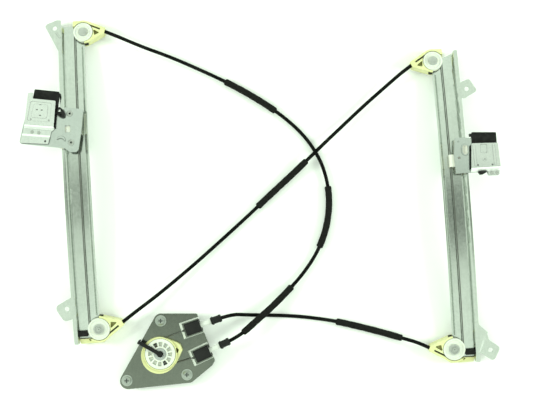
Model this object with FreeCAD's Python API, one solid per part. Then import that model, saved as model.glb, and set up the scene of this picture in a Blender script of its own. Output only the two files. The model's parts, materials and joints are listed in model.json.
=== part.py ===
import FreeCAD, Part
import math
import os

# Dual rail cable window regulator, lying flat with its carriers upwards.
# Millimetres, +Z up, origin at the bottom centre of the object's box.
# The object is point symmetric in its layout: each rail is described once in a rail
# frame, with u across the rail towards the inner side, v along it towards the top of
# the door, and h up from the underside of the rail's web.

Vector = FreeCAD.Vector

# Rails
rail_lean = 3.67
arc_radius = 1600.0
rail_place = {"left": (-264.8, 35.4), "right": (286.4, 0.7)}
pulley_station = {"left": 221.0, "right": 214.0}
rail_sheet = 1.5
rail_bend = 2.2
web_outer = -17.0
web_inner = 10.5
wall_height = 10.0
lip_reach = 23.5
inner_lip_height = 5.2
inner_lip_slope = 2.8
inner_lip_width = 2.0
rail_past = {"top": 14.6, "bottom": 21.0}
web_past = {"top": 9.0, "bottom": 14.0}
web_notch = {"top": -1.6, "bottom": -17.0}
wing_reach = 15.2
rail_top_trim = {
    "left": [(-60.0, 13.2), (5.0, 13.2), (5.0, 30.0), (-60.0, 30.0)],
    "right": [(-1.6, 5.9), (-16.0, 11.7), (-18.8, 14.5), (-18.8, 30.0), (5.0, 30.0), (5.0, 5.9)]}
lip_stops_before_pulley = 20.0
rail_tab = {"from": 8.0, "to": 22.0, "half_length": 9.0}

# Ears on the rails' outer lips: outline in u and v from the pulley's station, hole, hole radius
ear_hole = 3.4
ears = {
    ("left", "top"): {
        "outline": [(-42.4, 12.3), (-39.3, 16.2), (-24.7, 21.4), (-18.6, 20.8), (-20.0, -34.9)],
        "round": [2.0, 4.0, 5.0, 1.0, 1.0], "hole": (-28.0, 8.6)},
    ("left", "bottom"): {
        "outline": [(-48.5, 36.5), (-24.0, 49.0), (-20.0, 46.0), (-20.0, 18.0), (-36.0, 14.0)],
        "round": [7.0, 2.0, 1.0, 2.0, 7.0], "hole": (-30.6, 32.8)},
    ("right", "top"): {
        "outline": [(-20.0, -37.6), (-37.0, -31.0), (-47.6, -50.4), (-27.0, -61.0), (-20.0, -57.4)],
        "round": [1.0, 4.0, 4.0, 4.0, 1.0], "hole": (-32.1, -46.4)},
}
joggle_ear = {
    "web": [(-20.0, 38.0), (-23.3, 35.4), (-33.1, 25.0), (-21.1, -10.8), (-20.0, -10.8)],
    "upper_line": [(-32.5, 25.0), (-20.5, -10.8)], "lower_line": [(-37.2, 21.8), (-25.7, -8.9)],
    "ear": [(-36.0, 19.6), (-38.4, 9.8), (-54.6, -2.5), (-44.3, -22.6), (-25.0, -8.6)],
    "round": [0.0, 4.0, 5.0, 5.0, 0.0], "hole": (-39.9, -5.3), "drop": 3.5}
ear_rib = [(-27.2, 1.4), (-25.6, 2.5), (-19.6, -6.6), (-21.0, -7.7)]

# Pulleys, their rivets and the inner cable
cable_radius = 0.75
cable_height = 7.1
pulley_u = 14.0
pulley_width = 7.0
pulley_radius = {"top": 14.4, "bottom": 16.2}
pulley_cable_radius = {"top": 13.5, "bottom": 14.4}
groove_clearance = 0.35
rivet_radius = 4.0
running_clearance = 0.06
rivet_head_radius = {"top": 6.7, "bottom": 7.8}
rivet_dome_height = 3.2
rivet_flat_height = 1.4

# Pulley housings
base_depth = 4.0
seat_gap = 0.15
housing_rim = 11.2
floor_top = 3.4
pocket_gap = 0.8
housing_wall = 2.6
exit_angle = {("left", "top"): 25.0, ("left", "bottom"): 36.0,
              ("right", "top"): 32.0, ("right", "bottom"): 30.0}
nose_length = {("left", "top"): 29.0, ("left", "bottom"): 33.0,
               ("right", "top"): 29.5, ("right", "bottom"): 33.0}
nose_outer = 4.6
nose_inner = 3.5
socket_depth = 7.0
housing_past_pulley = {"top": 17.4, "bottom": 21.2}
housing_left = {"top": -16.5, "bottom": -30.7}
block_left = {"top": -15.1, "bottom": -30.7}
block_slope = {"top": 0.6, "bottom": 2.0}
block_recess = [(-17.2, 15.2), (-13.2, 15.0), (-13.6, 18.8)]
end_block_top = {"top": 11.2, "bottom": 4.5}

# Carriers
carrier_rest = {"left": 74.2, "right": 70.0}
carrier_floor = 11.8
carrier_sheet = 2.0
slide_clearance = 0.35
liner_sheet = 1.5
glass_gap = 6.0
jaw_sheet = 1.8
carrier_rivet_radius = 4.4

# Motor plate and drum
plate_low = 12.0
plate_sheet = 2.0
drum_place = (-145.1, -220.4)
drum_radius = 22.1
winding_radius = 19.5
drum_top = 28.0
spigot_radius = 12.0
hub_radius = 9.1
hub_bore = 4.8
spline_minor = 4.4
spline_major = 5.1
plain_bore_length = 7.5
spline_count = 10
tie_peg_radius = 4.0
tie_peg_start = 21.5
pocket_count = 12
pocket_depth = 3.5
nipple_pocket_depth = 8.5
nipple_pockets = (0, 6)
housing_offset = (-1.7, -2.2)
drum_housing_radius = 26.6
drum_housing_top = 27.0
screw_place = [(-146.0, -172.9), (-195.0, -260.2), (-106.8, -251.6)]
screw_radius = 3.0
screw_neck = 3.3
screw_hole = 3.45
screw_flange_radius = 8.2

# Cable adjusters: slot in the plate's wall and direction of the axis
adjusters = {"upper": {"slot": (-111.3, -186.9), "angle": 19.0},
             "lower": {"slot": (-96.9, -226.4), "angle": 25.0}}
adjuster_axis_height = 21.0
adjuster_body_width = 17.0
adjuster_body_start = 3.4
adjuster_body_end = 26.0
adjuster_bore = 6.3
adjuster_body_top = 7.4
tube_radius = 3.9
cap_start = 42.0
cap_end = 58.0
cap_radius = 5.3
conduit_end_in_cap = 50.0

# Conduits and their foam sleeves
conduit_radius = 2.7
sleeve_radius = 5.2
arc_share = 0.45


def corner(before, at, after, radius):
    """Start, middle and end of the arc of this radius that rounds the corner at a point."""
    back = (before - at).normalize()
    onward = (after - at).normalize()
    half = back.getAngle(onward) / 2.0
    reach = radius / math.tan(half)
    bisector = (back + onward).normalize()
    middle = at + bisector * (radius / math.sin(half) - radius)
    return at + back * reach, middle, at + onward * reach


def rounded_edges(points, radii, closed):
    """Straight edges joined by tangent arcs; a radius of nought keeps the corner."""
    count = len(points)
    stops = []
    for i, at in enumerate(points):
        is_end = not closed and i in (0, count - 1)
        if is_end or radii[i] <= 0:
            stops.append((at, None, at))
        else:
            stops.append(corner(points[i - 1], at, points[(i + 1) % count], radii[i]))
    edges = []
    for i, (start, middle, end) in enumerate(stops):
        if middle is not None:
            edges.append(Part.Arc(start, middle, end).toShape())
        if closed or i < count - 1:
            following = stops[(i + 1) % count][0]
            if (following - end).Length > 1e-6:
                edges.append(Part.LineSegment(end, following).toShape())
    return edges


def loop_face(points, radii=0.0, height=0.0):
    """Flat face at a height, from a list of corners and one radius or one for each."""
    if not isinstance(radii, (list, tuple)):
        radii = [radii] * len(points)
    corners = [Vector(x, y, height) for x, y in points]
    return Part.Face(Part.Wire(rounded_edges(corners, radii, True)))


def prism(points, low, high, radii=0.0):
    return loop_face(points, radii, low).extrude(Vector(0, 0, high - low))


def box(x0, x1, y0, y1, z0, z1):
    return Part.makeBox(x1 - x0, y1 - y0, z1 - z0, Vector(x0, y0, z0))


def disc(x, y, radius, low, high):
    return Part.makeCylinder(radius, high - low, Vector(x, y, low))


def turned(profile, x=0.0, y=0.0):
    """Solid turned about the vertical through a point, from corners of radius and height."""
    wire = Part.makePolygon([Vector(r, 0, z) for r, z in profile + profile[:1]])
    return Part.Face(wire).revolve(Vector(), Vector(0, 0, 1), 360).translated(Vector(x, y, 0))


def fused(*shapes):
    return shapes[0].multiFuse(list(shapes[1:])).removeSplitter()


def cut(shape, *tools):
    return shape.cut(list(tools))


def sheet_outline(path, thickness, bend):
    """Corners and radii of a bent sheet's section, from the middle line of the sheet."""
    sides = {1: [], -1: []}
    for i, (x, y) in enumerate(path):
        before = path[i - 1] if i > 0 else None
        after = path[i + 1] if i < len(path) - 1 else None
        legs = []
        for a, b in ((before, (x, y)), ((x, y), after)):
            if a is not None and b is not None:
                length = math.hypot(b[0] - a[0], b[1] - a[1])
                legs.append(((b[0] - a[0]) / length, (b[1] - a[1]) / length))
        first, last = legs[0], legs[-1]
        turn = first[0] * last[1] - first[1] * last[0]
        share = 1.0 + first[0] * last[0] + first[1] * last[1]
        for side in sides:
            mx = -(first[1] + last[1]) / share * side * thickness / 2.0
            my = (first[0] + last[0]) / share * side * thickness / 2.0
            radius = 0.0
            if abs(turn) > 1e-6:
                radius = bend if turn * side > 0 else bend + thickness
            sides[side].append(((x + mx, y + my), radius))
    loop = sides[1] + sides[-1][::-1]
    return [p for p, r in loop], [r for p, r in loop]


def turned_to_station(shape, station):
    """Moves a shape made at the top of the rail's arc to a station along it."""
    return shape.rotated(Vector(0, 0, -arc_radius), Vector(1, 0, 0),
                         -math.degrees(station / arc_radius))


def swept_along_rail(face, start, end):
    """Revolves a section, drawn in u and h, between two stations of the rail's arc."""
    placed = turned_to_station(face, end)
    return placed.revolve(Vector(0, 0, -arc_radius), Vector(1, 0, 0),
                          math.degrees((end - start) / arc_radius))


def section_face(points, radii):
    corners = [Vector(u, 0, h) for u, h in points]
    return Part.Face(Part.Wire(rounded_edges(corners, radii, True)))


def rail_block(u0, u1, h0, h1, start, end, radii=(0, 0, 0, 0)):
    """Block with its length along the rail, its edges rounded from the lower outer one on."""
    corners = [(u0, h0), (u1, h0), (u1, h1), (u0, h1)]
    return swept_along_rail(section_face(corners, radii), start, end)


def curved_plate(outline, low, high, radii):
    """Plate of a plan outline, curved about the rail's centre, at the top of the arc."""
    us = [u for u, v in outline]
    vs = [v for u, v in outline]
    band = rail_block(min(us) - 1, max(us) + 1, low, high, min(vs) - 1, max(vs) + 1)
    return band.common(prism(outline, low - 20, high + 20, radii))


def apex(side):
    """Height of the web's underside at the top of the arc, with the housings on the ground."""
    angle = pulley_station[side] / arc_radius
    lowest = (arc_radius - base_depth) * math.cos(angle)
    lowest -= housing_past_pulley["bottom"] * math.sin(angle)
    return arc_radius - lowest


def to_side(shape, side):
    """Places a shape from the rail frame in the object's frame."""
    if side == "right":
        shape = shape.mirror(Vector(), Vector(1, 0, 0))
    shape = shape.rotated(Vector(), Vector(0, 0, 1), rail_lean)
    x, y = rail_place[side]
    return shape.translated(Vector(x, y, apex(side)))


def point_to_side(point, side):
    x = -point.x if side == "right" else point.x
    lean = math.radians(rail_lean)
    px, py = rail_place[side]
    return Vector(px + x * math.cos(lean) - point.y * math.sin(lean),
                  py + x * math.sin(lean) + point.y * math.cos(lean), point.z + apex(side))


def to_end(shape, side, end):
    """Places a shape made about a pulley, with y outwards, at one end of a rail."""
    shape = shape.translated(Vector(pulley_u, 0, 0))
    if end == "bottom":
        shape = shape.mirror(Vector(), Vector(0, 1, 0))
    station = pulley_station[side] if end == "top" else -pulley_station[side]
    return turned_to_station(shape, station)


def end_point(p, q, h, side, end):
    """Point given about a pulley, in the rail frame."""
    station = pulley_station[side] if end == "top" else -pulley_station[side]
    y = q if end == "top" else -q
    turn = FreeCAD.Rotation(Vector(1, 0, 0), -math.degrees(station / arc_radius))
    return turn.multVec(Vector(pulley_u + p, y, h + arc_radius)) - Vector(0, 0, arc_radius)


def nose_frame(side, end):
    """Tangent point of the cable on the pulley, its direction and the outward normal."""
    angle = math.radians(exit_angle[(side, end)])
    reach = pulley_cable_radius[end]
    normal = Vector(math.sin(angle), math.cos(angle), 0)
    along = Vector(math.cos(angle), -math.sin(angle), 0)
    return normal * reach, along, normal


def make_rail(side):
    t = rail_sheet
    path = [(-lip_reach, wall_height - t / 2), (web_outer - t / 2, wall_height - t / 2),
            (web_outer - t / 2, t / 2), (web_inner, t / 2),
            (web_inner + inner_lip_slope, inner_lip_height - t / 2),
            (web_inner + inner_lip_slope + inner_lip_width, inner_lip_height - t / 2)]
    points, radii = sheet_outline(path, t, rail_bend)
    station = pulley_station[side]
    top = station + rail_past["top"]
    bottom = -station - rail_past["bottom"]
    web_top = station + web_past["top"]
    web_bottom = -station - web_past["bottom"]
    shape = swept_along_rail(section_face(points, radii), bottom, top)
    clear_from = station - lip_stops_before_pulley
    wide = web_inner + inner_lip_slope + inner_lip_width + 1
    shape = cut(shape,
                rail_block(web_inner - 2.5, wide, -1, wall_height, clear_from, top + 1),
                rail_block(web_inner - 2.5, wide, -1, wall_height, bottom - 1, -clear_from),
                rail_block(web_notch["top"], wide, -1, wall_height + 1, web_top, top + 1),
                rail_block(web_notch["bottom"], wide, -1, wall_height + 1, bottom - 1, web_bottom),
                turned_to_station(prism(rail_top_trim[side], -2, wall_height + 2), station))
    wings = [rail_block(web_inner - 3, wing_reach, 0, t, clear_from, web_top),
             rail_block(web_inner - 3, wing_reach, 0, t, web_bottom, -clear_from)]
    tabs = [rail_block(web_inner - 3, rail_tab["to"], 0, t,
                       s - rail_tab["half_length"], s + rail_tab["half_length"])
            for s in (station, -station)]
    shape = fused(shape, *wings, *tabs)
    for end, s in (("top", station), ("bottom", -station)):
        hole = disc(pulley_u, 0, rivet_radius + 0.2, -2, 4)
        shape = cut(shape, turned_to_station(hole, s))
        if (side, end) in ears:
            ear = ears[(side, end)]
            plate = curved_plate(ear["outline"], wall_height - t, wall_height, ear["round"])
            hole = disc(ear["hole"][0], ear["hole"][1], ear_hole, 0, 20)
            shape = fused(shape, turned_to_station(plate, s))
            shape = cut(shape, turned_to_station(hole, s))
            if (side, end) == ("left", "top"):
                rib = prism(ear_rib, wall_height - t / 2, wall_height + 0.8, 0.7)
                shape = fused(shape, turned_to_station(rib, s))
    if side == "right":
        shape = add_joggle_ear(shape, -station)
    return to_side(shape, side)


def add_joggle_ear(shape, station):
    """Gusset on the lip, a slanted fold and an ear that lies lower."""
    t = rail_sheet
    drop = joggle_ear["drop"]
    gusset = curved_plate(joggle_ear["web"], wall_height - t, wall_height, 0.0)
    top = wall_height - 0.15
    ends = []
    for upper, lower in zip(joggle_ear["upper_line"], joggle_ear["lower_line"]):
        corners = [Vector(*upper, top), Vector(*lower, top - drop),
                   Vector(*lower, top - drop - t), Vector(*upper, top - t)]
        ends.append(Part.makePolygon(corners + corners[:1]))
    fold = Part.makeLoft(ends, True, True)
    ear = prism(joggle_ear["ear"], wall_height - t - drop, wall_height - drop, joggle_ear["round"])
    hole = disc(joggle_ear["hole"][0], joggle_ear["hole"][1], ear_hole, 0, 20)
    added = cut(fused(gusset, fold, ear), hole)
    return fused(shape, turned_to_station(added, station))


def nose_corners(side, end):
    """Plan of a housing's nose, from the pulley's middle to the mouth and back to the body."""
    body = pulley_radius[end] + pocket_gap + housing_wall
    tangent, along, normal = nose_frame(side, end)
    length = nose_length[(side, end)]
    foot = normal * (tangent.Length + nose_outer)
    tip_outer = tangent + along * length + normal * nose_outer
    tip_inner = tangent + along * (length + 1.0) - normal * nose_inner
    reach = math.hypot(tip_inner.x, tip_inner.y)
    swing = math.atan2(tip_inner.y, tip_inner.x) - math.acos(body / reach)
    touch = Vector(body * math.cos(swing), body * math.sin(swing), 0)
    return [(0, 0), (foot.x, foot.y), (tip_outer.x, tip_outer.y),
            (tip_inner.x, tip_inner.y), (touch.x, touch.y)]


nose_round = [0, 2.0, 1.5, 1.5, 0]


def make_housing(side, end):
    disc_radius = pulley_radius[end]
    body = disc_radius + pocket_gap + housing_wall
    tangent, along, normal = nose_frame(side, end)
    length = nose_length[(side, end)]
    past = housing_past_pulley[end]
    rail_end = web_past[end] + 0.3
    nose = nose_corners(side, end)
    low = -base_depth
    outline = fused(disc(0, 0, body, low, housing_rim), prism(nose, low, housing_rim, nose_round))
    left = block_left[end]
    corner_block = prism([(left, rail_end), (left + block_slope[end], past), (6.0, past),
                          (body - 1, 6.0), (0, 0)],
                         low, end_block_top[end], [0.8, 1.5, 6.0, 1.0, 0])
    rail_space = box(-50, 1.6, -60, rail_end, -seat_gap, housing_rim + 5)
    upper = cut(fused(outline, corner_block), rail_space)
    floor = disc(0, 0, 13.0, rail_sheet + 0.2, floor_top)
    under = box(housing_left[end], 3.0, -14.0, rail_end + 2, low, -seat_gap)
    shape = fused(upper, floor, under)
    half = rail_tab["half_length"] + 0.4
    tab_slot = box(-8, rail_tab["to"] - pulley_u + 0.4, -half, half, -seat_gap, rail_sheet + 0.2)
    pocket = disc(0, 0, disc_radius + pocket_gap, floor_top, housing_rim + 5)
    shank = disc(0, 0, rivet_radius + 0.1, low - 1, floor_top + 1)
    counterbore = disc(0, 0, rivet_head_radius["top"] + 0.2, low - 1, low + 1.6)
    start = tangent + Vector(0, 0, cable_height)
    socket_start = start + along * (length - socket_depth)
    channel = Part.makeBox(length - socket_depth, 2.6, 12, Vector(0, -1.3, cable_height - 1.4))
    channel.rotate(Vector(), Vector(0, 0, 1), -exit_angle[(side, end)])
    channel.translate(tangent)
    bore = Part.makeCylinder(1.3, length + 4, start, along)
    socket = Part.makeCylinder(conduit_radius + 0.1, socket_depth + 6, socket_start, along)
    recess_points = [tangent + along * (0.42 * length) - normal * 4.0,
                     tangent + along * (length - 5.0) - normal * 5.2,
                     tangent + along * (0.62 * length) - normal * 12.0]
    recess = prism([(c.x, c.y) for c in recess_points], 5.5, housing_rim + 5, 1.2)
    shape = cut(shape, tab_slot, pocket, shank, counterbore, channel, bore, socket, recess)
    if end == "bottom":
        shape = cut(shape, prism(block_recess, 0.5, housing_rim, 0.4))
    return to_side(to_end(shape.removeSplitter(), side, end), side)


def make_pulley(side, end):
    low = floor_top + 0.2
    high = low + pulley_width
    outer = pulley_radius[end]
    root = pulley_cable_radius[end] - cable_radius - groove_clearance
    half = cable_radius + groove_clearance
    bore = rivet_radius + running_clearance
    face_in, face_out, dish = 8.8, outer - 2.4, 0.9
    profile = [(bore, low), (outer, low), (outer, cable_height - half - 0.9),
               (root, cable_height - half), (root, cable_height + half),
               (outer, cable_height + half + 0.9), (outer, high), (face_out, high),
               (face_out - 0.6, high - dish), (face_in + 0.6, high - dish), (face_in, high),
               (bore, high)]
    return to_side(to_end(turned(profile), side, end), side)


def make_pulley_rivet(side, end):
    low = -base_depth
    pulley_top = floor_top + 0.2 + pulley_width
    head_low = pulley_top + 0.2
    head = rivet_head_radius[end]
    lower_head = rivet_head_radius["top"]
    profile = [(0, low), (lower_head, low), (lower_head, low + 1.4), (rivet_radius, low + 1.4),
               (rivet_radius, head_low)]
    if end == "top":
        profile += [(head, head_low), (head, head_low + 0.8), (head * 0.86, head_low + 2.0),
                    (head * 0.6, head_low + 2.8), (head * 0.3, head_low + rivet_dome_height),
                    (0, head_low + rivet_dome_height)]
    else:
        top = head_low + rivet_flat_height
        profile += [(head, head_low), (head, top - 0.4), (head - 0.5, top), (5.6, top),
                    (5.2, top - 0.6), (3.4, top - 0.6), (3.0, top + 0.2), (0.9, top + 0.2),
                    (0.9, top - 0.5), (0, top - 0.5)]
    return to_side(to_end(turned(profile), side, end), side)


def make_bumpers(side):
    """Small rubber bumper under the inner corner of each housing."""
    pieces = []
    low, high = 3.0, 8.0
    for end in ("top", "bottom"):
        edge = -(pulley_radius[end] + pocket_gap + housing_wall)
        outline = [(1.7, edge + 0.9), (7.5, edge + 1.9), (7.2, edge - 0.7), (2.1, edge - 1.4)]
        nose = prism(nose_corners(side, end), low - 1, high + 1, nose_round)
        piece = cut(prism(outline, low, high, 0.6), disc(0, 0, -edge + 0.05, low - 1, high + 1),
                    nose.translated(Vector(0, -0.06, 0)))
        pieces.append(to_side(to_end(piece, side, end), side))
    return pieces


def make_lower_stop(side):
    """Rubber block in the foot of the channel, where the carrier comes to rest."""
    start, end = 3.2, 9.8
    station = -pulley_station[side]
    piece = rail_block(web_outer + 0.3, -3.2, rail_sheet + 0.1, 8.5, station - end,
                       station - start, (2.6, 0, 0, 0))
    return to_side(piece, side)


def inner_cable_edges(side):
    """From the upper conduit round both pulleys to the lower conduit, in the rail frame."""
    h = cable_height
    parts = {}
    for end in ("top", "bottom"):
        tangent, along, normal = nose_frame(side, end)
        reach = pulley_cable_radius[end]
        start = tangent + along * (nose_length[(side, end)] - socket_depth + 1.2)
        first = math.radians(90 - exit_angle[(side, end)])
        middle = (first + math.pi) / 2
        parts[end] = [end_point(p, q, h, side, end) for p, q in (
            (start.x, start.y), (tangent.x, tangent.y),
            (reach * math.cos(middle), reach * math.sin(middle)))]
        parts[end].append(end_point(-reach, 0, h, side, end))
    top, bottom = parts["top"], parts["bottom"]
    return [Part.LineSegment(top[0], top[1]).toShape(),
            Part.Arc(top[1], top[2], top[3]).toShape(),
            top[3], bottom[3],
            Part.Arc(bottom[3], bottom[2], bottom[1]).toShape(),
            Part.LineSegment(bottom[1], bottom[0]).toShape()]


def tube_along(edges, radius, bore=0.0):
    """Tube, or rod where there is no bore, along edges that run on smoothly."""
    first = edges[0]
    start = first.valueAt(first.FirstParameter)
    along = first.tangentAt(first.FirstParameter)
    face = Part.Face(Part.Wire(Part.makeCircle(radius, start, along)))
    if bore > 0:
        hole = Part.Face(Part.Wire(Part.makeCircle(bore, start, along)))
        face = face.cut(hole).Faces[0]
    return Part.Wire(edges).makePipe(face)


def make_inner_cable(side):
    line, wrap, upper, lower, unwrap, last = inner_cable_edges(side)
    middle = Vector((upper.x + lower.x) / 2, 0, cable_height)
    along_rail = Part.Arc(upper, middle, lower).toShape()
    tube = tube_along([line, wrap, along_rail, unwrap, last], cable_radius)
    return to_side(tube, side)


def make_slider(side):
    """Moulded shoe that grips the rail's outer lip and carries the cable nipples."""
    gap = slide_clearance
    t = rail_sheet
    inner_edge = {"left": -4.0, "right": -7.5}[side]
    outer = -lip_reach - gap
    hook_low = wall_height - t - gap - 3.2
    top = carrier_floor - 0.05
    start, end = {"left": (-28.0, 27.0), "right": (-26.5, 22.0)}[side]
    hook_start, hook_end = -10.0, 6.0
    shoe = fused(
        rail_block(web_outer + gap, inner_edge, t + gap, top, start, end, (2.2, 0, 0, 0)),
        rail_block(outer - 2.6, web_outer + gap + 1, wall_height + gap, top, start, end),
        rail_block(outer - 2.6, outer, hook_low, wall_height + gap + 0.5, hook_start, hook_end),
        rail_block(outer - 2.6, web_outer - t - gap, hook_low, wall_height - t - gap,
                   hook_start, hook_end, (0, 0, 2.2, 0)))
    low, high = {"left": (-6.0, 25.0), "right": (-17.4, 0.6)}[side]
    reach = {"left": 4.0, "right": 2.8}[side]
    boss = rail_block(inner_edge - 1, reach, t + gap + 0.4, top, low, high)
    groove = box(-1.4, 1.4, low - 1, high + 1, 0, cable_height + 1.4)
    seat = nipple_radius + 0.15
    seats = [box(-seat, seat, v - 4.2, v + 4.2, cable_height - seat, cable_height + seat)
             for v in nipple_stations[side]]
    pegs = [disc(u, v, 2.55, 3, 20) for u, v in carrier_rivets[side]]
    shape = cut(fused(shoe, boss), groove, *seats, *pegs)
    if side == "right":
        snap = cut(oval_post(snap_oval["radius"] - 0.15, carrier_floor - 0.4, carrier_floor + 2.6),
                   oval_post(snap_oval["radius"] - 1.7, carrier_floor + 1.4, carrier_floor + 5.0))
        shape = fused(shape, snap)
    return to_side(turned_to_station(shape, carrier_rest[side]), side)


nipple_radius = 2.0
nipple_stations = {"left": (1.0, 18.0), "right": (-9.6,)}
carrier_rivets = {"left": [(-9.3, 22.8), (-9.1, -20.4)], "right": []}
snap_oval = {"u": -20.8, "low": 3.3, "high": 9.3, "radius": 3.9}

carrier_outline = {
    "left": [(-16.6, 32.8), (11.0, 28.1), (8.4, 5.1), (1.7, -31.0), (-1.6, -35.1),
             (-11.5, -34.5), (-19.2, -28.3), (-85.3, -17.3), (-79.5, 5.9), (-65.0, 52.0),
             (-27.0, 50.5), (-30.0, 24.0), (-18.0, 22.0)],
    "right": [(-7.1, 24.9), (-3.8, -0.3), (-4.5, -28.0), (-50.2, -28.6), (-51.2, -33.8),
              (-68.2, -34.6), (-67.5, 26.5), (-32.0, 26.5), (-30.0, 22.0), (-27.4, 23.7)],
}
carrier_round = {
    "left": [2, 2, 4, 3, 3, 5, 6, 4, 3, 3, 3, 2, 2],
    "right": [1.5, 8, 1.5, 1.5, 1.5, 3, 3, 2, 2, 1.5],
}


def oval_post(radius, low, high):
    u, v0, v1 = snap_oval["u"], snap_oval["low"], snap_oval["high"]
    return fused(disc(u, v0, radius, low, high), disc(u, v1, radius, low, high),
                 box(u - radius, u + radius, v0, v1, low, high))


def make_carrier_plate(side):
    low, high = carrier_floor, carrier_floor + carrier_sheet
    shape = prism(carrier_outline[side], low, high, carrier_round[side])
    holes = [disc(u, v, 2.6, 0, 30) for u, v in carrier_rivets[side]]
    holes += [disc(u, v, 1.7, 0, 30) for u, v in clamp_rivets[side]]
    if side == "left":
        window = box(-17.1, -9.3, -5.0, 5.2, 0, 30)
        louver = cut(disc(-23.4, -16.6, 6.0, high - 1, high + 2.2),
                     disc(-24.2, -19.6, 6.6, high - 2, high + 5))
        shape = fused(cut(shape, window, *holes), louver)
    else:
        oval = oval_post(snap_oval["radius"], 0, 30)
        rim = oval_post(snap_oval["radius"] + 1.5, high - 1, high + 1.2)
        small = disc(-11.1, -5.5, 2.1, 0, 30)
        mark = prism([(-13.5, 17.7), (-9.8, 18.0), (-11.5, 20.9)], high - 0.5, high + 3, 0.4)
        shape = cut(fused(shape, rim), oval, small, mark, *holes)
    return to_side(turned_to_station(shape, carrier_rest[side]), side)


def make_carrier_rivets(side):
    """Hollow rivets through plate and shoe, with a rolled head on the plate."""
    top = carrier_floor + carrier_sheet
    head = carrier_rivet_radius
    profile = [(1.3, 5.0), (2.5, 5.0), (2.5, top + 0.05), (head, top + 0.05), (head, top + 0.5),
               (head - 0.8, top + 1.1), (2.2, top + 1.1), (1.3, top + 0.4)]
    return [to_side(turned_to_station(turned(profile, u, v), carrier_rest[side]), side)
            for u, v in carrier_rivets[side]]


jaw_low = carrier_floor + carrier_sheet + 2 * liner_sheet + glass_gap
jaw_middle = jaw_low + jaw_sheet / 2
flange_middle = carrier_floor + carrier_sheet + jaw_sheet / 2

jaw_path = {
    "left": [(70.0, jaw_middle), (5.2, jaw_middle), (3.2, flange_middle), (-6.8, flange_middle),
             (-9.0, flange_middle + 1.6), (-30.0, flange_middle + 1.6)],
    "right": [(40.0, jaw_middle), (-23.4, jaw_middle), (-26.4, flange_middle),
              (-38.0, flange_middle)],
}
jaw_turn = {"left": -8.3, "right": 0.0}
jaw_pivot = Vector(-55.0, 0.0, 0.0)
jaw_outline = {
    "left": [(-66.8, 55.2), (-60.0, 55.5), (-60.3, 46.4), (-27.1, 40.9), (-32.1, 0.7),
             (-37.2, -3.0), (-42.2, -21.0), (-83.4, -16.7), (-77.4, 4.9), (-74.2, 7.6)],
    "right": [(-28.9, 13.5), (-25.8, -24.2), (-26.9, -28.2), (-51.2, -28.3), (-51.6, -33.4),
              (-67.2, -34.2), (-68.5, -27.0), (-66.9, 12.1)],
}
jaw_round = {
    "left": [1.5, 1, 1.5, 1.5, 1, 1, 1.5, 2, 1, 1],
    "right": [1.5, 1, 1, 1, 1, 1.5, 1, 1.5],
}
jaw_field = [(-63.6, 43.0), (-32.6, 37.8), (-36.6, 9.6), (-70.0, 14.2)]
jaw_island = [(-58.6, 38.6), (-38.6, 35.2), (-41.0, 15.6), (-64.0, 18.8)]
jaw_marks = [(-54.8, 29.4), (-47.8, 28.4), (-49.4, 36.6), (-50.6, 20.6)]
jaw_dimples = [(-64.4, 15.8), (-38.3, 12.4)]


def make_clamp_jaw(side):
    """Pressed front plate of the glass clamp, folded down on to the carrier plate."""
    points, radii = sheet_outline(jaw_path[side], jaw_sheet, 1.0)
    corners = [Vector(0, v, h) for v, h in points]
    section = Part.Face(Part.Wire(rounded_edges(corners, radii, True)))
    sheet = section.extrude(Vector(-130, 0, 0)).translated(Vector(10, 0, 0))
    sheet = sheet.rotated(jaw_pivot, Vector(0, 0, 1), jaw_turn[side])
    outline = prism(jaw_outline[side], 0, 60, jaw_round[side])
    shape = sheet.common(outline)
    top = jaw_low + jaw_sheet
    if side == "left":
        field = prism(jaw_field, top - 0.7, top + 2, 3.0)
        island = prism(jaw_island, top - 0.8, top, 3.0)
        marks = [box(u - 1.4, u + 1.4, v - 0.7, v + 0.7, top - 1.3, top + 2)
                 for u, v in jaw_marks]
        dimples = [disc(u, v, 1.3, top - 1.4, top + 2) for u, v in jaw_dimples]
        shape = cut(fused(cut(shape, field), island), *marks, *dimples)
        shape = cut(shape, disc(-46.2, -16.8, 1.6, 0, 60))
    else:
        ribs = [prism([(u - 1.5, 11.6), (u + 1.5, 11.6), (u + 1.1, -20.5), (u - 1.9, -20.5)],
                      top - 0.6, top + 0.9, 1.2) for u in (-31.8, -60.4)]
        window = prism([(-51.0, 11.2), (-41.0, 11.5), (-40.2, -1.3), (-50.6, -1.8)],
                       top - 0.9, top + 2, 1.5)
        ring = cut(disc(-45.8, -11.2, 2.6, top - 0.5, top + 0.6),
                   disc(-45.8, -11.2, 1.3, top - 3, top + 2))
        dimples = [disc(u, v, 1.4, top - 1.4, top + 2) for u, v in ((-35.4, -19.1), (-56.6, -19.6))]
        shape = cut(fused(shape, *ribs, ring), window, *dimples)
    rivets = [disc(u, v, 1.7, 0, 30) for u, v in clamp_rivets[side]]
    shape = cut(shape, *rivets)
    return to_side(turned_to_station(shape, carrier_rest[side]), side)


clamp_rivets = {"left": [(-65.2, -1.4), (-55.5, -3.2)], "right": [(-56.8, -30.8), (-64.4, -31.0)]}


def make_clamp_rivets(side):
    low = carrier_floor
    top = carrier_floor + carrier_sheet + jaw_sheet
    profile = [(0, low), (1.6, low), (1.6, top + 0.03), (2.4, top + 0.03), (2.1, top + 0.7),
               (1.0, top + 0.9), (0, top + 0.9)]
    return [to_side(turned_to_station(turned(profile, u, v), carrier_rest[side]), side)
            for u, v in clamp_rivets[side]]


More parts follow.
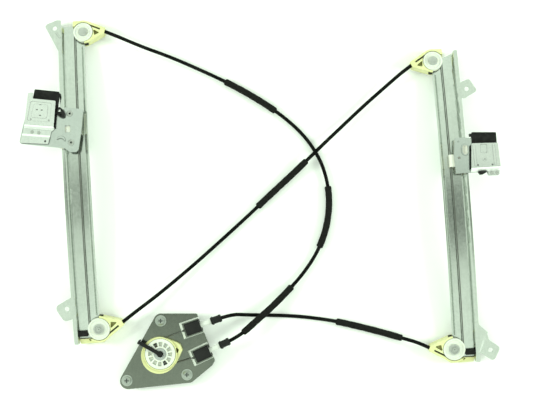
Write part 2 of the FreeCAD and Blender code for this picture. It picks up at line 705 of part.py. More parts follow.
liner_back = {
    "left": [(-58.9, 62.3), (-23.0, 56.2), (-22.1, 50.6), (-25.9, 31.6), (-28.7, 23.5),
             (-31.9, 9.8), (-71.0, 13.2), (-62.2, 49.0)],
    "right": [(-31.9, 31.5), (-68.0, 29.2), (-67.4, -19.5), (-30.4, -19.5)],
}
liner_front = {
    "left": [(-61.2, 45.8), (-28.4, 40.6), (-32.6, 9.8), (-71.0, 13.2)],
    "right": [(-31.0, 14.8), (-66.2, 13.6), (-66.4, -19.5), (-29.4, -19.5)],
}
liner_floor = {"left": (9.8, 13.2), "right": (-19.5, -16.0)}


def make_clamp_liner(side):
    """Soft liner folded round the foot of the glass gap."""
    low = carrier_floor + carrier_sheet + 0.03
    high = jaw_low - 0.03
    back = prism(liner_back[side], low, low + liner_sheet, 1.5)
    front = prism(liner_front[side], high - liner_sheet, high, 1.5)
    v0, v1 = liner_floor[side]
    u0, u1 = {"left": (-70.0, -37.0), "right": (-66.5, -31.5)}[side]
    foot = box(u0, u1, v0, v1, low, high)
    shape = fused(back, front, foot)
    if side == "right":
        nub = prism([(-33.0, 29.2), (-27.8, 29.0), (-27.8, 24.8), (-33.0, 24.6)],
                    low, low + liner_sheet + 1.5, 0.8)
        shape = fused(shape, nub)
    return to_side(turned_to_station(shape, carrier_rest[side]), side)


def make_cable_nipples(side):
    """Crimped barrels on the cable's ends, held in the shoe's seats."""
    pieces = []
    for v in nipple_stations[side]:
        barrel = Part.makeCylinder(nipple_radius, 8.0, Vector(0, v - 4.0, cable_height),
                                   Vector(0, 1, 0))
        bore = Part.makeCylinder(cable_radius + 0.5, 10.0, Vector(0, v - 5.0, cable_height),
                                 Vector(0, 1, 0))
        piece = barrel.cut(bore)
        pieces.append(to_side(turned_to_station(piece, carrier_rest[side]), side))
    return pieces


def make_hook_clip(side):
    """Moulded clip that keeps the clamp's liner and the glass carrier together."""
    low = carrier_floor + carrier_sheet + 0.03
    if side == "left":
        outline = [(-25.3, 31.9), (-22.2, 32.5), (-17.7, 28.4), (-15.7, 22.5), (-16.2, 17.3),
                   (-20.5, 16.7), (-26.1, 20.4), (-28.2, 23.2)]
        hole = prism([(-24.6, 29.6), (-21.7, 29.4), (-19.4, 24.4), (-26.2, 25.6)],
                     low - 1, low + 9, 0.8)
        shape = cut(prism(outline, low, low + 5.0, [1, 2, 4, 3, 2, 2, 2, 1]), hole,
                    disc(-21.4, 20.9, 1.3, low + 2.0, low + 9))
    else:
        flange_top = carrier_floor + carrier_sheet + jaw_sheet + 0.05
        beside = [(-36.8, -28.75), (-50.2, -28.75), (-47.0, -30.4), (-43.6, -32.0), (-39.2, -32.4)]
        over = [(-36.4, -28.9), (-37.0, -27.95), (-50.6, -27.95), (-43.6, -32.0), (-39.2, -32.4)]
        shape = fused(prism(beside, carrier_floor, low + 4.0, [0.2, 0.2, 1.5, 1.0, 1.0]),
                      prism(over, flange_top, low + 4.0, [0.2, 0.3, 0.8, 1.0, 1.0]))
    return to_side(turned_to_station(shape, carrier_rest[side]), side)


def adjuster_placed(shape, name):
    x, y = adjusters[name]["slot"]
    shape = shape.rotated(Vector(), Vector(0, 0, 1), adjusters[name]["angle"])
    return shape.translated(Vector(x, y, adjuster_axis_height))


def adjuster_point(name, along):
    angle = math.radians(adjusters[name]["angle"])
    x, y = adjusters[name]["slot"]
    return Vector(x + along * math.cos(angle), y + along * math.sin(angle), adjuster_axis_height)


plate_outline = [(-152.1, -162.1), (-92.6, -162.1), (-65.6, -231.0), (-69.6, -238.0),
                 (-100.0, -263.2), (-215.0, -275.2)]
plate_round = [11.0, 3.0, 3.0, 5.0, 9.0, 12.0]


def make_motor_plate():
    """Steel plate with two pressed pockets that hold the cable adjusters."""
    low, high = plate_low, plate_low + plate_sheet
    axis = adjuster_axis_height
    plate = prism(plate_outline, low, high, plate_round)
    outline = prism(plate_outline, low, axis + 20, plate_round)
    for name in adjusters:
        top = 10.0 + high - axis
        base = high - axis - 0.5
        foot = [(-4.5, -12.4), (27.5, -12.4), (27.5, 12.4), (-4.5, 12.4)]
        crest = [(0.1, -10.7), (27.5, -10.7), (27.5, 10.7), (0.1, 10.7)]
        rings = [Part.makePolygon([Vector(a, b, z) for a, b in ring + ring[:1]])
                 for ring, z in ((foot, base), (crest, top))]
        ridge = Part.makeLoft(rings, True, True)
        half = adjuster_body_width / 2 + 0.4
        inside = box(2.7, 60, -half, half, high - axis, 30)
        slot = box(-7, 5, -1.5, 1.5, -3, 30)
        ridge = adjuster_placed(cut(ridge, inside, slot), name).common(outline)
        plate = fused(plate, ridge)
    holes = [disc(x, y, screw_hole, low - 1, high + 1) for x, y in screw_place]
    centre = disc(drum_place[0], drum_place[1], spigot_radius + 1.5, low - 1, high + 1)
    return cut(plate, centre, *holes)


def cable_line(name):
    """Start of the straight cable beside the drum, and the slot that it runs to."""
    dx = adjusters[name]["slot"][0] - drum_place[0]
    dy = adjusters[name]["slot"][1] - drum_place[1]
    distance = math.hypot(dx, dy)
    spread = math.asin(winding_radius / distance)
    sign = 1 if name == "upper" else -1
    angle = math.atan2(dy, dx) - sign * spread
    x = drum_place[0] - sign * winding_radius * math.sin(angle)
    y = drum_place[1] + sign * winding_radius * math.cos(angle)
    return Vector(x, y, adjuster_axis_height), Vector(math.cos(angle), math.sin(angle), 0)


drum_nose = [(-139.0, -197.2), (-122.0, -203.5), (-116.6, -207.0), (-113.2, -215.0),
             (-122.0, -234.4), (-131.0, -243.0)]


def make_drum_housing():
    """Moulded cup round the drum, thicker outside, with a nose where the cables leave."""
    x, y = drum_place
    low = plate_low + plate_sheet
    top = drum_housing_top
    cup = disc(x + housing_offset[0], y + housing_offset[1], drum_housing_radius, low, top)
    nose = prism(drum_nose + [(x, y)], low, top, [1.0, 3.0, 3.0, 3.0, 3.0, 1.0, 0.0])
    shape = fused(cup, nose)
    step = cut(disc(x, y, 60, top - 2.2, top + 1), disc(x, y, drum_radius + 2.4, top - 3, top + 2))
    pocket = disc(x, y, drum_radius + 0.5, low + 1.5, top + 1)
    floor = disc(x, y, spigot_radius + running_clearance, low - 1, low + 3)
    channels = []
    for name in adjusters:
        start, along = cable_line(name)
        channel = Part.makeBox(60, 3.2, 5.0, Vector(0, -1.6, -2.5))
        channel.rotate(Vector(), Vector(0, 0, 1), math.degrees(math.atan2(along.y, along.x)))
        channel.translate(start)
        channels.append(channel)
    recess = prism([(-123.0, -209.0), (-118.0, -214.5), (-121.0, -222.5)], low + 4, top + 1, 1.2)
    groove = cut(disc(x, y, drum_housing_radius - 1.9, top - 3.2, top),
                 disc(x, y, drum_radius + 2.4, top - 5, top + 2),
                 box(x - 4, x + 60, y - 60, y + 60, 0, 60),
                 box(x - 60, x + 60, y + 4, y + 60, 0, 60))
    return cut(shape, step, pocket, floor, recess, groove, *channels).removeSplitter()


def make_cable_drum():
    """Drum with a wide groove, a running spigot and a ring of wedge pockets."""
    x, y = drum_place
    low = plate_low + plate_sheet + 1.8
    root = winding_radius - cable_radius - 0.1
    profile = [(hub_radius + 0.03, plate_low + 1), (spigot_radius, plate_low + 1),
               (spigot_radius, low), (drum_radius, low), (drum_radius, low + 1.0),
               (root, low + 1.6), (root, drum_top - 3.2), (drum_radius, drum_top - 2.4),
               (drum_radius, drum_top - 0.4), (drum_radius - 0.4, drum_top),
               (hub_radius + 0.03, drum_top)]
    shape = turned(profile, x, y)
    pitch = 360.0 / pocket_count
    rib_angle = 9.0
    inner, outer = 11.2, 17.6
    for i in range(pocket_count):
        floor = drum_top - (nipple_pocket_depth if i in nipple_pockets else pocket_depth)
        sector = Part.makeCylinder(outer, 20, Vector(0, 0, floor), Vector(0, 0, 1),
                                   pitch - rib_angle)
        wedge = sector.cut(Part.makeCylinder(inner, 30, Vector(0, 0, floor - 5)))
        wedge.rotate(Vector(), Vector(0, 0, 1), i * pitch + 108.0)
        shape = shape.cut(wedge.translated(Vector(x, y, 0)))
    return shape


def make_drum_hub():
    """Splined insert that the motor's shaft drives."""
    x, y = drum_place
    hub = disc(x, y, hub_radius, plate_low + 1, drum_top + 0.5)
    splines_from = plate_low + 1 + plain_bore_length
    bore = fused(disc(x, y, hub_bore, 0, splines_from), disc(x, y, spline_minor, 0, 60))
    tooth = box(x - 0.7, x + 0.7, y, y + spline_major, splines_from - 1, 60)
    teeth = [tooth.rotated(Vector(x, y, 0), Vector(0, 0, 1), i * 360.0 / spline_count)
             for i in range(spline_count)]
    rim = cut(disc(x, y, hub_radius + 1, drum_top - 0.2, drum_top + 2),
              disc(x, y, hub_radius - 1.6, 0, 60))
    return cut(hub, bore, *teeth).cut(rim)


def make_drum_cable():
    """Turns of cable in the drum's groove and the two end nipples in their pockets."""
    x, y = drum_place
    turns = [Part.makeTorus(winding_radius, cable_radius, Vector(x, y, z))
             for z in (18.9, 20.9, 22.9)]
    nipples = []
    for angle in (118.0, -62.0):
        a = math.radians(angle)
        centre = Vector(x + 14.4 * math.cos(a), y + 14.4 * math.sin(a), drum_top - 4.2)
        along = Vector(-math.sin(a), math.cos(a), 0)
        nipples.append(Part.makeCylinder(2.0, 4.2, centre - along * 2.1, along))
    return turns + nipples


def make_motor_screws():
    """Captive screws, heads on the plate and shanks standing out below for the motor."""
    seat = plate_low + plate_sheet
    r = screw_radius
    pieces = []
    for x, y in screw_place:
        profile = [(0, 0), (r - 0.6, 0), (r, 0.6), (r, plate_low - 0.3),
                   (screw_neck, plate_low - 0.3), (screw_neck, seat), (screw_flange_radius, seat),
                   (screw_flange_radius, seat + 0.9), (6.2, seat + 1.7), (5.6, seat + 3.6),
                   (4.4, seat + 4.5), (0, seat + 4.9)]
        screw = turned(profile, x, y)
        recess = [box(x - 3.2, x + 3.2, y - 0.7, y + 0.7, seat + 2.4, seat + 9),
                  box(x - 0.7, x + 0.7, y - 3.2, y + 3.2, seat + 2.4, seat + 9)]
        pieces.append(cut(screw, *recess))
    return pieces


def make_transport_tie():
    """Plastic tie with a peg in the drum's hub and a leg beside the plate's edge."""
    x, y = drum_place
    angle = 151.0
    strap_low = drum_top + 0.9
    edge = 34.9
    strap = prism([(-4.0, -2.7), (edge + 2.2, -2.7), (edge + 2.2, 2.7), (-4.0, 2.7)],
                  strap_low, strap_low + 2.2, 1.2)
    peg = disc(0, 0, tie_peg_radius, tie_peg_start, strap_low + 0.5)
    leg = box(edge + 0.2, edge + 2.2, -2.7, 2.7, plate_low + 0.1, strap_low + 1)
    head = disc(0, 0, 3.6, strap_low, strap_low + 2.9)
    shape = fused(strap, peg, leg, head)
    shape = shape.rotated(Vector(), Vector(0, 0, 1), angle)
    return shape.translated(Vector(x, y, 0))


def make_adjuster_body(name):
    half = adjuster_body_width / 2
    low = plate_low + plate_sheet - adjuster_axis_height + 0.03
    start, end = adjuster_body_start, adjuster_body_end
    top = adjuster_body_top
    block = prism([(start, -half), (end, -half), (end, half), (start, half)], low, top, 1.5)
    along = Vector(1, 0, 0)
    cable = Part.makeCylinder(1.4, 20, Vector(start - 5, 0, 0), along)
    bore = Part.makeCylinder(adjuster_bore, end - 2 - 6, Vector(6, 0, 0), along)
    mouth = Part.makeCylinder(tube_radius + 0.4, 10, Vector(end - 4, 0, 0), along)
    bevels = [box(start - 1, end + 1, side * half - 1.2, side * half + 1.2, top - 0.8, 9)
              for side in (-1, 1)]
    return adjuster_placed(cut(block, cable, mouth, bore, *bevels), name)


def make_adjuster_tube(name):
    along = Vector(1, 0, 0)
    tube = Part.makeCylinder(tube_radius, cap_start + 4 - 16.2, Vector(16.2, 0, 0), along)
    collar = Part.makeCylinder(adjuster_bore - 0.4, 1.5, Vector(16.2, 0, 0), along)
    bore = Part.makeCylinder(1.6, 60, Vector(10, 0, 0), along)
    return adjuster_placed(fused(tube, collar).cut(bore), name)


def make_adjuster_cap(name):
    """Moulded cap that joins the tube to the conduit, with finger ribs."""
    along = Vector(1, 0, 0)
    shape = Part.makeCylinder(cap_radius, cap_end - cap_start, Vector(cap_start, 0, 0), along)
    ring = Part.makeCylinder(cap_radius + 0.8, 2.2, Vector(cap_start + 1.5, 0, 0), along)
    ring2 = Part.makeCylinder(cap_radius + 0.5, 2.0, Vector(cap_end - 3.5, 0, 0), along)
    socket = Part.makeCylinder(tube_radius + 0.05, 14, Vector(cap_start - 10, 0, 0), along)
    conduit = Part.makeCylinder(conduit_radius + 0.35, 20, Vector(cap_start + 5.5, 0, 0), along)
    bore = Part.makeCylinder(1.6, 30, Vector(cap_start - 5, 0, 0), along)
    return adjuster_placed(cut(fused(shape, ring, ring2), socket, conduit, bore), name)


def make_drum_inner_cables():
    """The two bare cables from the drum through the adjusters to the conduits."""
    clear_of_turns = 9.0
    pieces = []
    for name in adjusters:
        start, along = cable_line(name)
        slot = adjuster_point(name, 0.0)
        end = adjuster_point(name, conduit_end_in_cap)
        points = [start + along * clear_of_turns, slot, end]
        edges = rounded_edges(points, [0, 40.0, 0], False)
        pieces.append(tube_along(edges, cable_radius))
    return pieces


def conduit_exit(side, end, outwards):
    """Point on a conduit's line, measured outwards from the mouth of the housing's nose."""
    tangent, along, normal = nose_frame(side, end)
    at = tangent + along * (nose_length[(side, end)] + outwards)
    return point_to_side(end_point(at.x, at.y, cable_height, side, end), side)


in_socket = -5.0
lead = 16.0

long_middle = [(-178.0, 236.3, 13.5), (-136.0, 222.0, 8.5), (-93.0, 203.8, 5.6),
               (-51.0, 184.4, 5.3), (-14.8, 164.9, 5.3), (22.0, 141.6, 5.2), (49.5, 119.8, 4.2),
               (68.4, 100.6, 3.2), (84.0, 78.6, 3.0), (95.2, 55.0, 5.4), (102.6, 25.5, 5.3),
               (104.0, -5.0, 5.3), (99.0, -38.0, 5.3), (86.5, -70.5, 5.2), (66.5, -101.5, 5.0),
               (42.0, -129.0, 8.0), (16.0, -154.5, 14.0), (-4.0, -172.0, 15.5)]
cross_middle = [(-150.0, -134.5, 12.5), (-102.0, -94.0, 7.0), (-61.0, -57.3, 5.3),
                (-20.5, -20.3, 5.3), (19.5, 17.5, 5.4), (51.0, 46.6, 7.2), (76.0, 70.8, 12.8),
                (97.0, 91.4, 12.8), (125.0, 118.2, 8.6), (158.0, 149.6, 7.4),
                (190.0, 177.4, 10.8)]
short_middle = [(-19.0, -164.3, 10.5), (5.0, -165.0, 4.0), (33.0, -165.6, 3.0),
                (62.0, -167.2, 3.2), (90.0, -170.4, 5.3), (116.0, -174.6, 5.4),
                (150.0, -182.4, 5.3), (183.0, -190.8, 5.3), (208.0, -198.0, 6.6)]

routes = {
    "long": [conduit_exit("left", "top", in_socket), conduit_exit("left", "top", lead)]
    + [Vector(*p) for p in long_middle]
    + [adjuster_point("lower", 74.0), adjuster_point("lower", conduit_end_in_cap)],
    "cross": [conduit_exit("left", "bottom", in_socket), conduit_exit("left", "bottom", lead)]
    + [Vector(*p) for p in cross_middle]
    + [conduit_exit("right", "top", lead), conduit_exit("right", "top", in_socket)],
    "short": [adjuster_point("upper", conduit_end_in_cap), adjuster_point("upper", 74.0)]
    + [Vector(*p) for p in short_middle]
    + [conduit_exit("right", "bottom", lead), conduit_exit("right", "bottom", in_socket)],
}

# Where each sleeve starts and ends, measured along its conduit
sleeve_places = {"long": [(201.0, 289.5), (431.0, 524.5), (596.0, 696.0)],
                 "cross": [(267.5, 368.0)], "short": [(181.5, 282.5)]}


def route_radii(points):
    """The largest arc that each corner of a route has room for."""
    radii = [0.0] * len(points)
    for i in range(1, len(points) - 1):
        back = points[i - 1] - points[i]
        onward = points[i + 1] - points[i]
        half_turn = (math.pi - back.getAngle(onward)) / 2
        shorter = min(back.Length, onward.Length)
        radii[i] = arc_share * shorter / math.tan(half_turn)
    return radii


def make_conduit(name):
    points = routes[name]
    edges = rounded_edges(points, route_radii(points), False)
    return tube_along(edges, conduit_radius)


def stretch_of(edges, start, end):
    """The part of a row of edges between two distances along it."""
    pieces = []
    passed = 0.0
    for edge in edges:
        first = max(start - passed, 0.0)
        last = min(end - passed, edge.Length)
        if last - first > 0.01:
            pieces.append(edge.Curve.toShape(edge.getParameterByLength(first),
                                             edge.getParameterByLength(last)))
        passed += edge.Length
    return pieces


def make_sleeves(name):
    """Foam sleeves on the stretches of a conduit that could rattle."""
    points = routes[name]
    edges = rounded_edges(points, route_radii(points), False)
    return [tube_along(stretch_of(edges, start, end), sleeve_radius, conduit_radius + 0.05)
            for start, end in sleeve_places[name]]


def make_adjuster_spring(name):
    """Compression spring behind the tube's collar, as short runs joined by tangent arcs."""
    wire, coil, pitch, turns, steps = 0.6, 5.15, 2.2, 4, 10
    points = []
    for i in range(turns * steps + 1):
        angle = 2 * math.pi * i / steps
        points.append(Vector(6.65 + pitch * i / steps, coil * math.cos(angle),
                             coil * math.sin(angle)))
    edges = rounded_edges(points, route_radii(points), False)
    return adjuster_placed(tube_along(edges, wire), name)


def all_nodes():
    nodes = {}
    for side in ("left", "right"):
        nodes[side + "_rail"] = [make_rail(side)]
        for end in ("top", "bottom"):
            place = side + "_" + end + "_"
            nodes[place + "housing"] = [make_housing(side, end)]
            nodes[place + "pulley"] = [make_pulley(side, end)]
            nodes[place + "rivet"] = [make_pulley_rivet(side, end)]
        nodes[side + "_bumpers"] = make_bumpers(side)
        nodes[side + "_lower_stop"] = [make_lower_stop(side)]
        nodes[side + "_inner_cable"] = [make_inner_cable(side)]
        nodes[side + "_carrier_plate"] = [make_carrier_plate(side)]
        nodes[side + "_slider"] = [make_slider(side)]
        if carrier_rivets[side]:
            nodes[side + "_carrier_rivets"] = make_carrier_rivets(side)
        nodes[side + "_clamp_jaw"] = [make_clamp_jaw(side)]
        nodes[side + "_clamp_liner"] = [make_clamp_liner(side)]
        nodes[side + "_clamp_rivets"] = make_clamp_rivets(side)
        nodes[side + "_cable_nipples"] = make_cable_nipples(side)
        nodes[side + "_hook_clip"] = [make_hook_clip(side)]
    nodes["motor_plate"] = [make_motor_plate()]
    nodes["drum_housing"] = [make_drum_housing()]
    nodes["cable_drum"] = [make_cable_drum()]
    nodes["drum_hub"] = [make_drum_hub()]
    nodes["drum_cable"] = make_drum_cable()
    nodes["motor_screws"] = make_motor_screws()
    nodes["transport_tie"] = [make_transport_tie()]
    nodes["drum_inner_cables"] = make_drum_inner_cables()
    for name in adjusters:
        nodes[name + "_adjuster_body"] = [make_adjuster_body(name)]
        nodes[name + "_adjuster_spring"] = [make_adjuster_spring(name)]
        nodes[name + "_adjuster_tube"] = [make_adjuster_tube(name)]
        nodes[name + "_adjuster_cap"] = [make_adjuster_cap(name)]
    for name in routes:
        nodes[name + "_conduit"] = [make_conduit(name)]
        nodes[name + "_sleeves"] = make_sleeves(name)
    return nodes


os.makedirs("parts", exist_ok=True)
nodes = all_nodes()
for name, solids in nodes.items():
    shape = Part.makeCompound(solids) if len(solids) > 1 else solids[0]
    count = len(shape.Solids)
    if not shape.isValid() or count != len(solids):
        print("look at", name, "valid", shape.isValid(), "solids", count, "of", len(solids))
    shape.exportStep("parts/" + name + ".step")
for name, points in routes.items():
    radii = [round(r) for r in route_radii(points)[1:-1]]
    edges = rounded_edges(points, route_radii(points), False)
    length = sum(e.Length for e in edges)
    expected = math.pi * conduit_radius ** 2 * length
    volume = nodes[name + "_conduit"][0].Volume
    print(name, "length", round(length, 1), "tightest", min(radii), "volume ratio",
          round(volume / expected, 4), "radii", radii)
print(len(nodes), "nodes")
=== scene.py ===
import json
import math

import bmesh
import bpy
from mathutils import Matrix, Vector


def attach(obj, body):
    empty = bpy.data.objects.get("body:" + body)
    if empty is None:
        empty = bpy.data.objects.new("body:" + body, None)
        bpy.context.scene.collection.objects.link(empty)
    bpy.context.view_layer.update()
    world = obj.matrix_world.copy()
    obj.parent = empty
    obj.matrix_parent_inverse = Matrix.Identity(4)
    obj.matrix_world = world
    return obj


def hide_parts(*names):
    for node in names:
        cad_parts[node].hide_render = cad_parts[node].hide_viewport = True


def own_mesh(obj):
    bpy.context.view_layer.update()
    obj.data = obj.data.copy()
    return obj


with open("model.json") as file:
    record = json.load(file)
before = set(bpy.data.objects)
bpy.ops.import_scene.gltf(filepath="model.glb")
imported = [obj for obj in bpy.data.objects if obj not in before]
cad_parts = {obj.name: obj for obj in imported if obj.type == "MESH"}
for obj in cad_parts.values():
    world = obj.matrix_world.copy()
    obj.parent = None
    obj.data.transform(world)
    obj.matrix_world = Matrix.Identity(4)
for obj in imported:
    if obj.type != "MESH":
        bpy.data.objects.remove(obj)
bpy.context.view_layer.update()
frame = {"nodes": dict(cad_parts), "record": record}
slots = {part["node"]: part["material_slot"] for part in frame["record"]["subparts"]}

# Camera and framing
photo_width = 533
focal_pixels = 1000.0
sensor_width = 36.0
camera_distance = 1.5
camera_tilt = math.radians(3.4)
camera_target = Vector((0.010, 0.0065, 0.0))
near_clip = 0.05

# Tent: tones by distance from the middle of its dimmer patch overhead
patch_shift = (-0.044, -0.030, 0.0)
patch_scale = (0.22, 1.0, 0.0)
tent_strength = 1.12
tent_tones = [(0.0, 0.26), (0.05, 0.29), (0.08, 0.36), (0.10, 0.52), (0.115, 0.66), (0.14, 0.80),
              (0.17, 0.90), (0.30, 0.97), (1.0, 1.0)]
light_tint = (0.86, 1.0, 0.84)

# Lamps: name, place and power
lamps = [
    ("lamp_left", (-2.1, 0.15, 1.33), 34.0),
    ("lamp_right", (2.2, 0.05, 1.15), 36.0),
]
lamp_size = 0.7

# Floor: a little light of its own, seen by the camera and in reflections
floor_half = 4.0
floor_height = -0.0004
floor_tone = 0.90
floor_roughness = 0.7
floor_lift = 0.05

# All materials: the range that most of a noise lies in, and samples for edges and corners
noise_low = 0.3
noise_high = 0.7
edge_samples = 6
hollow_samples = 8

# Sheet steel: grain in waves per metre, scratches by their turn and the noise they begin at,
# how upright the surface is where it counts as sloping and as level for the painted highlight
# on slopes, and the share and reach of the painted shade in corners
rail_turn = -math.radians(3.67)
plate_turn = 0.1
cloud_grain = 34.0
mottle_grain = 230.0
fine_grain = 1300.0
rolling_grain = (420.0, 30.0, 90.0)
scratch_grain = (90.0, 1300.0, 300.0)
scratch_sets = [(0.6, 0.665), (-0.9, 0.68), (1.7, 0.69)]
scratch_edge = 0.05
scratch_gain = 1.45
sloping = 0.94
level = 0.995
slope_metal = 0.25
# Share of the dark tone and reach of the ambient occlusion for the painted shade in the steel's
# corners
steel_corner_shade_share = 0.15
steel_corner_shade_reach = 0.004
steel_relief = 0.00005
steel_edge = 0.0003

# Moulded plastic
flow_grain = 45.0
skin_grain = 2600.0
# Reach of the ambient occlusion for the painted shade in the plastic's corners
plastic_corner_shade_reach = 0.006
plastic_relief = 0.00004
plastic_edge = 0.0004
plastic_depth = (0.004, 0.0035, 0.002)

# Rubber, foam, jacket and wire
dust_grain = 120.0
rubber_grain = 1800.0
rubber_relief = 0.00006
pit_grain = 900.0
lump_grain = 320.0
foam_relief = 0.0005
mark_grain = 70.0
jacket_grain = 1500.0
jacket_relief = 0.00005
strand_grain = 2400.0
wire_relief = 0.0002

# Cords: the sleeves waver by waves of a rate and a phase
conduit_diameter = 0.0054
sleeve_radius = 0.0052
sleeve_ease = 0.0003
sleeve_end_round = 0.0012
sleeve_end_inset = 0.0011
sleeve_step = 0.0016
sleeve_sides = 24
sleeve_wobble = 0.00008
wobble_waves = [(0.9, 0.0), (0.37, 1.0)]

routes = {
    "long": [
        (-0.2377, 0.2609, 0.0136), (-0.2182, 0.2534, 0.0148), (-0.1780, 0.2363, 0.0135),
        (-0.1360, 0.2220, 0.0085), (-0.0930, 0.2038, 0.0056), (-0.0510, 0.1844, 0.0053),
        (-0.0148, 0.1649, 0.0053), (0.0220, 0.1416, 0.0052), (0.0495, 0.1198, 0.0042),
        (0.0684, 0.1006, 0.0032), (0.0840, 0.0786, 0.0030), (0.0952, 0.0550, 0.0054),
        (0.1026, 0.0255, 0.0053), (0.1040, -0.0050, 0.0053), (0.0990, -0.0380, 0.0053),
        (0.0865, -0.0705, 0.0052), (0.0665, -0.1015, 0.0050), (0.0420, -0.1290, 0.0080),
        (0.0160, -0.1545, 0.0140), (-0.0040, -0.1720, 0.0155), (-0.0298, -0.1951, 0.0210),
        (-0.0516, -0.2053, 0.0210)],
    "cross": [
        (-0.2059, -0.1778, 0.0146), (-0.1897, -0.1645, 0.0163), (-0.1500, -0.1345, 0.0125),
        (-0.1020, -0.0940, 0.0070), (-0.0610, -0.0573, 0.0053), (-0.0205, -0.0203, 0.0053),
        (0.0195, 0.0175, 0.0054), (0.0510, 0.0466, 0.0072), (0.0760, 0.0708, 0.0128),
        (0.0970, 0.0914, 0.0128), (0.1250, 0.1182, 0.0086), (0.1580, 0.1496, 0.0074),
        (0.1900, 0.1774, 0.0108), (0.2139, 0.1982, 0.0155), (0.2309, 0.2104, 0.0140)],
    "short": [
        (-0.0640, -0.1706, 0.0210), (-0.0413, -0.1628, 0.0210), (-0.0190, -0.1643, 0.0105),
        (0.0050, -0.1650, 0.0040), (0.0330, -0.1656, 0.0030), (0.0620, -0.1672, 0.0032),
        (0.0900, -0.1704, 0.0053), (0.1160, -0.1746, 0.0054), (0.1500, -0.1824, 0.0053),
        (0.1830, -0.1908, 0.0053), (0.2080, -0.1980, 0.0066), (0.2359, -0.2053, 0.0154),
        (0.2547, -0.2146, 0.0140)],
}
cord_lengths = {"long": 0.727, "cross": 0.586, "short": 0.330}
sleeve_places = {
    "long": [(0.2010, 0.2895), (0.4310, 0.5245), (0.5960, 0.6960)],
    "cross": [(0.2675, 0.3680)],
    "short": [(0.1815, 0.2825)],
}


class Surface:
    """One procedural material, built node by node."""

    def __init__(self, name, roughness=0.5, metallic=0.0, specular=0.5):
        self.material = bpy.data.materials.new(name)
        self.material.use_nodes = True
        self.tree = self.material.node_tree
        self.shader = self.tree.nodes["Principled BSDF"]
        self.shader.inputs["Roughness"].default_value = roughness
        self.shader.inputs["Metallic"].default_value = metallic
        self.shader.inputs["Specular IOR Level"].default_value = specular
        self.place = self.add("ShaderNodeTexCoord").outputs["Object"]

    def add(self, kind, **settings):
        node = self.tree.nodes.new(kind)
        for key, value in settings.items():
            setattr(node, key, value)
        return node

    def link(self, start, end):
        self.tree.links.new(start, end)

    def stretched(self, scale, turn):
        """Coordinates scaled differently along each axis, after a turn about the vertical."""
        turned = self.add("ShaderNodeMapping", vector_type="POINT")
        turned.inputs["Rotation"].default_value = (0.0, 0.0, turn)
        self.link(self.place, turned.inputs["Vector"])
        scaled = self.add("ShaderNodeMapping", vector_type="POINT")
        scaled.inputs["Scale"].default_value = scale
        self.link(turned.outputs["Vector"], scaled.inputs["Vector"])
        return scaled.outputs["Vector"]

    def noise(self, scale, detail=4.0, roughness=0.55, vector=None):
        node = self.add("ShaderNodeTexNoise")
        node.inputs["Scale"].default_value = scale
        node.inputs["Detail"].default_value = detail
        node.inputs["Roughness"].default_value = roughness
        self.link(vector or self.place, node.inputs["Vector"])
        return node.outputs["Fac"]

    def cells(self, scale):
        node = self.add("ShaderNodeTexVoronoi")
        node.inputs["Scale"].default_value = scale
        self.link(self.place, node.inputs["Vector"])
        return node.outputs["Distance"]

    def ramp(self, value, low, high, low_out=0.0, high_out=1.0):
        """The value taken from low and high to low_out and high_out, and held beyond them."""
        node = self.add("ShaderNodeMapRange")
        node.inputs["From Min"].default_value = low
        node.inputs["From Max"].default_value = high
        node.inputs["To Min"].default_value = low_out
        node.inputs["To Max"].default_value = high_out
        self.link(value, node.inputs["Value"])
        return node.outputs["Result"]

    def spread(self, noise, low_out=0.0, high_out=1.0):
        """The ramp over the range that most of a noise lies in."""
        return self.ramp(noise, noise_low, noise_high, low_out, high_out)

    def math(self, operation, first, second=0.0):
        node = self.add("ShaderNodeMath", operation=operation)
        for socket, value in zip(node.inputs, (first, second)):
            if isinstance(value, (int, float)):
                socket.default_value = value
            else:
                self.link(value, socket)
        return node.outputs["Value"]

    def mix(self, factor, first, second):
        node = self.add("ShaderNodeMix", data_type="RGBA")
        self.link(factor, node.inputs["Factor"])
        for socket, value in ((node.inputs["A"], first), (node.inputs["B"], second)):
            if isinstance(value, tuple):
                socket.default_value = (*value, 1.0)
            else:
                self.link(value, socket)
        return node.outputs["Result"]

    def colour(self, value):
        self.link(value, self.shader.inputs["Base Color"])

    def roughness(self, value):
        self.link(value, self.shader.inputs["Roughness"])

    def bump(self, height, distance, edge=0.0):
        """Relief from a height, over edges that are softened by a small radius."""
        node = self.add("ShaderNodeBump")
        node.inputs["Distance"].default_value = distance
        self.link(height, node.inputs["Height"])
        if edge > 0:
            soft = self.add("ShaderNodeBevel", samples=edge_samples)
            soft.inputs["Radius"].default_value = edge
            self.link(soft.outputs["Normal"], node.inputs["Normal"])
        self.link(node.outputs["Normal"], self.shader.inputs["Normal"])

    def upright(self):
        """One where the surface is level, falling to nought on a wall."""
        facing = self.add("ShaderNodeNewGeometry").outputs["True Normal"]
        parts = self.add("ShaderNodeSeparateXYZ")
        self.link(facing, parts.inputs["Vector"])
        return self.math("ABSOLUTE", parts.outputs["Z"])

    def hollows(self, reach):
        """One in the open, falling to nought deep in corners."""
        node = self.add("ShaderNodeAmbientOcclusion", samples=hollow_samples)
        node.inputs["Distance"].default_value = reach
        return node.outputs["AO"]


